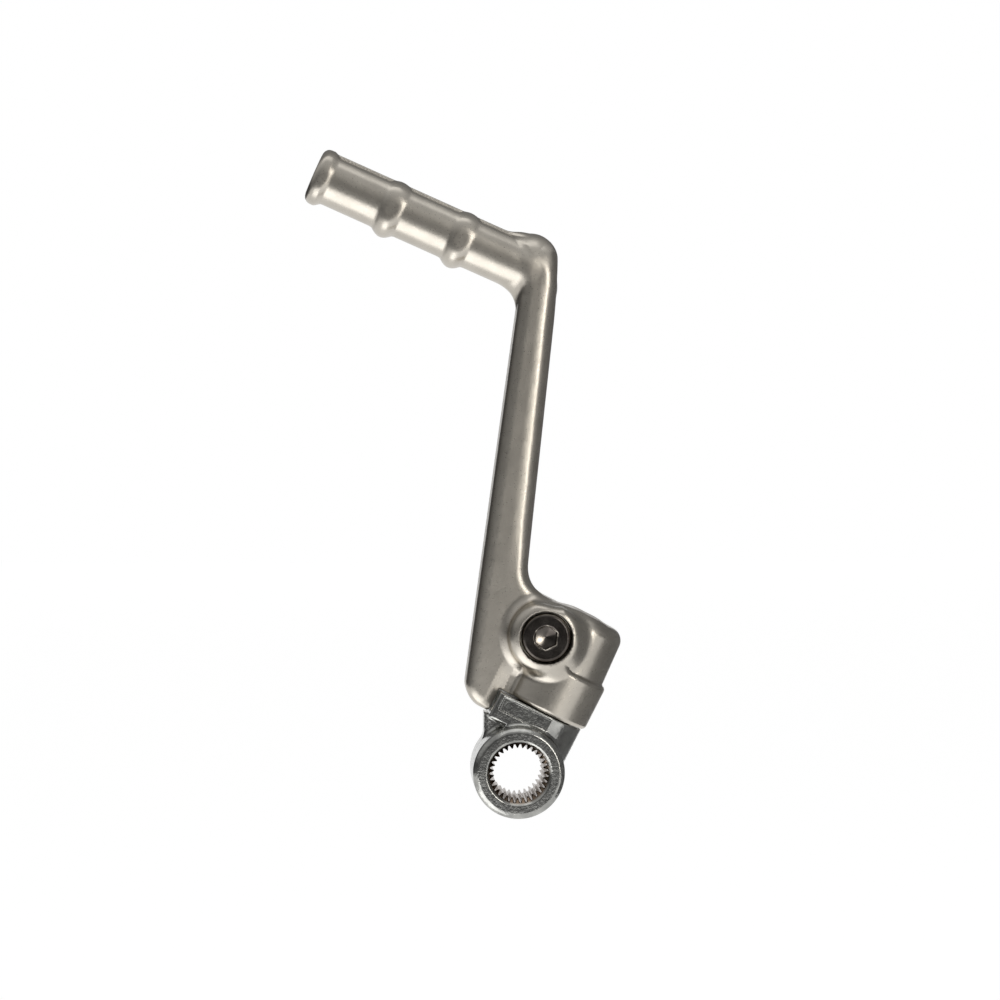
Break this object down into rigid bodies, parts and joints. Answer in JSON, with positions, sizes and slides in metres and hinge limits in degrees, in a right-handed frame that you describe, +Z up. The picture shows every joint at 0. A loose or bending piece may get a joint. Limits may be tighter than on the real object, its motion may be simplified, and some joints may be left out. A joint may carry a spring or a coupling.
{
  "type": "kick start lever",
  "caption": "Folding kick start lever: a forged arm with a beaded foot pedal that swings out on a splined steel knuckle, held by a cross screw and clicked in by a sprung ball.",
  "frame": {"origin": "on the kick shaft's axis, at the middle of the splined boss", "axes": "+Z up, towards the pedal; +Y outward along the kick shaft, away from the engine; +X away from the pedal, so that the folded arm lies in the XZ plane"},
  "size_m": [0.077, 0.0265, 0.1611],
  "materials": {
    "forged_aluminium": "bead-blasted forging, warm satin grey",
    "plated_steel": "bright zinc plate over a grainy forged skin",
    "black_steel": "black oxide, oiled",
    "polished_steel": "polished",
    "spring_steel": "drawn wire"
  },
  "bodies": {
    "knuckle": {"knuckle": "plated_steel", "detent_spring": "spring_steel"},
    "lever": {"lever_arm": "forged_aluminium", "retaining_screw": "black_steel"},
    "detent_ball": {"detent_ball": "polished_steel"}
  },
  "joints": [
    {"name": "fold", "type": "hinge", "parent": "knuckle", "child": "lever", "pos_m": [0, 0.006, 0], "axis": [-0.454, 0, -0.891], "range_deg": [0, 90]},
    {"name": "detent", "type": "slide", "parent": "knuckle", "child": "detent_ball", "axis": [0.4455, -0.866, -0.227], "range_m": [0, 0.0006], "stiffness_N_per_m": 400, "springref_m": 0.005, "deforming": ["detent_spring"]}
  ]
}
